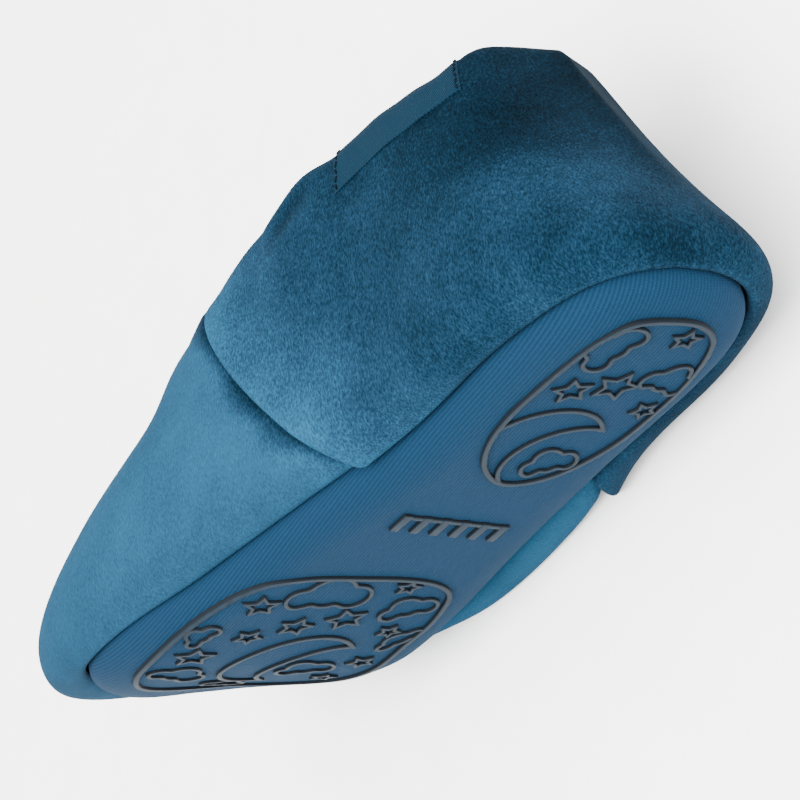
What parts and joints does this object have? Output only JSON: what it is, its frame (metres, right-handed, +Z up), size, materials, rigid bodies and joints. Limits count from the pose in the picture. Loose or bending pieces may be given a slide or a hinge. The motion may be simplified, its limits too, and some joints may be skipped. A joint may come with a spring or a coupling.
{
  "type": "slipper",
  "caption": "Child's closed velour slipper for the right foot, lying on its side, with an open collar, a soft knit sole and raised rubber grip bands under heel and ball.",
  "frame": {"origin": "on the floor under the centre of the bounding box of the slipper lying on its right side", "axes": "+X runs from toe to heel, +Y from the sole to the collar, +Z up through the slipper's left side"},
  "size_m": [0.214, 0.0708, 0.0816],
  "materials": {
    "velour": "short velour pile, matt",
    "knit": "fine knit jersey over foam, matt",
    "insole_cloth": "cloth over foam, matt",
    "ribbon": "woven ribbon, slight sheen",
    "rubber": "moulded rubber, satin"
  },
  "bodies": {
    "root": {"grip_bars": "rubber", "grip_cloud_ball_10": "rubber", "grip_cloud_ball_11": "rubber", "grip_cloud_ball_12": "rubber", "grip_cloud_ball_13": "rubber", "grip_cloud_ball_14": "rubber", "grip_cloud_ball_15": "rubber", "grip_cloud_heel_2": "rubber", "grip_cloud_heel_3": "rubber", "grip_cloud_heel_4": "rubber", "grip_moon_ball_9": "rubber", "grip_moon_heel_1": "rubber", "grip_ring_ball": "rubber", "grip_ring_heel": "rubber", "grip_star_ball_16": "rubber", "grip_star_ball_17": "rubber", "grip_star_ball_18": "rubber", "grip_star_ball_19": "rubber", "grip_star_ball_20": "rubber", "grip_star_ball_21": "rubber", "grip_star_ball_22": "rubber", "grip_star_ball_23": "rubber", "grip_star_heel_5": "rubber", "grip_star_heel_6": "rubber", "grip_star_heel_7": "rubber", "grip_star_heel_8": "rubber", "insole": "insole_cloth", "label": "ribbon", "outsole": "knit", "upper": "velour"}
  },
  "joints": []
}
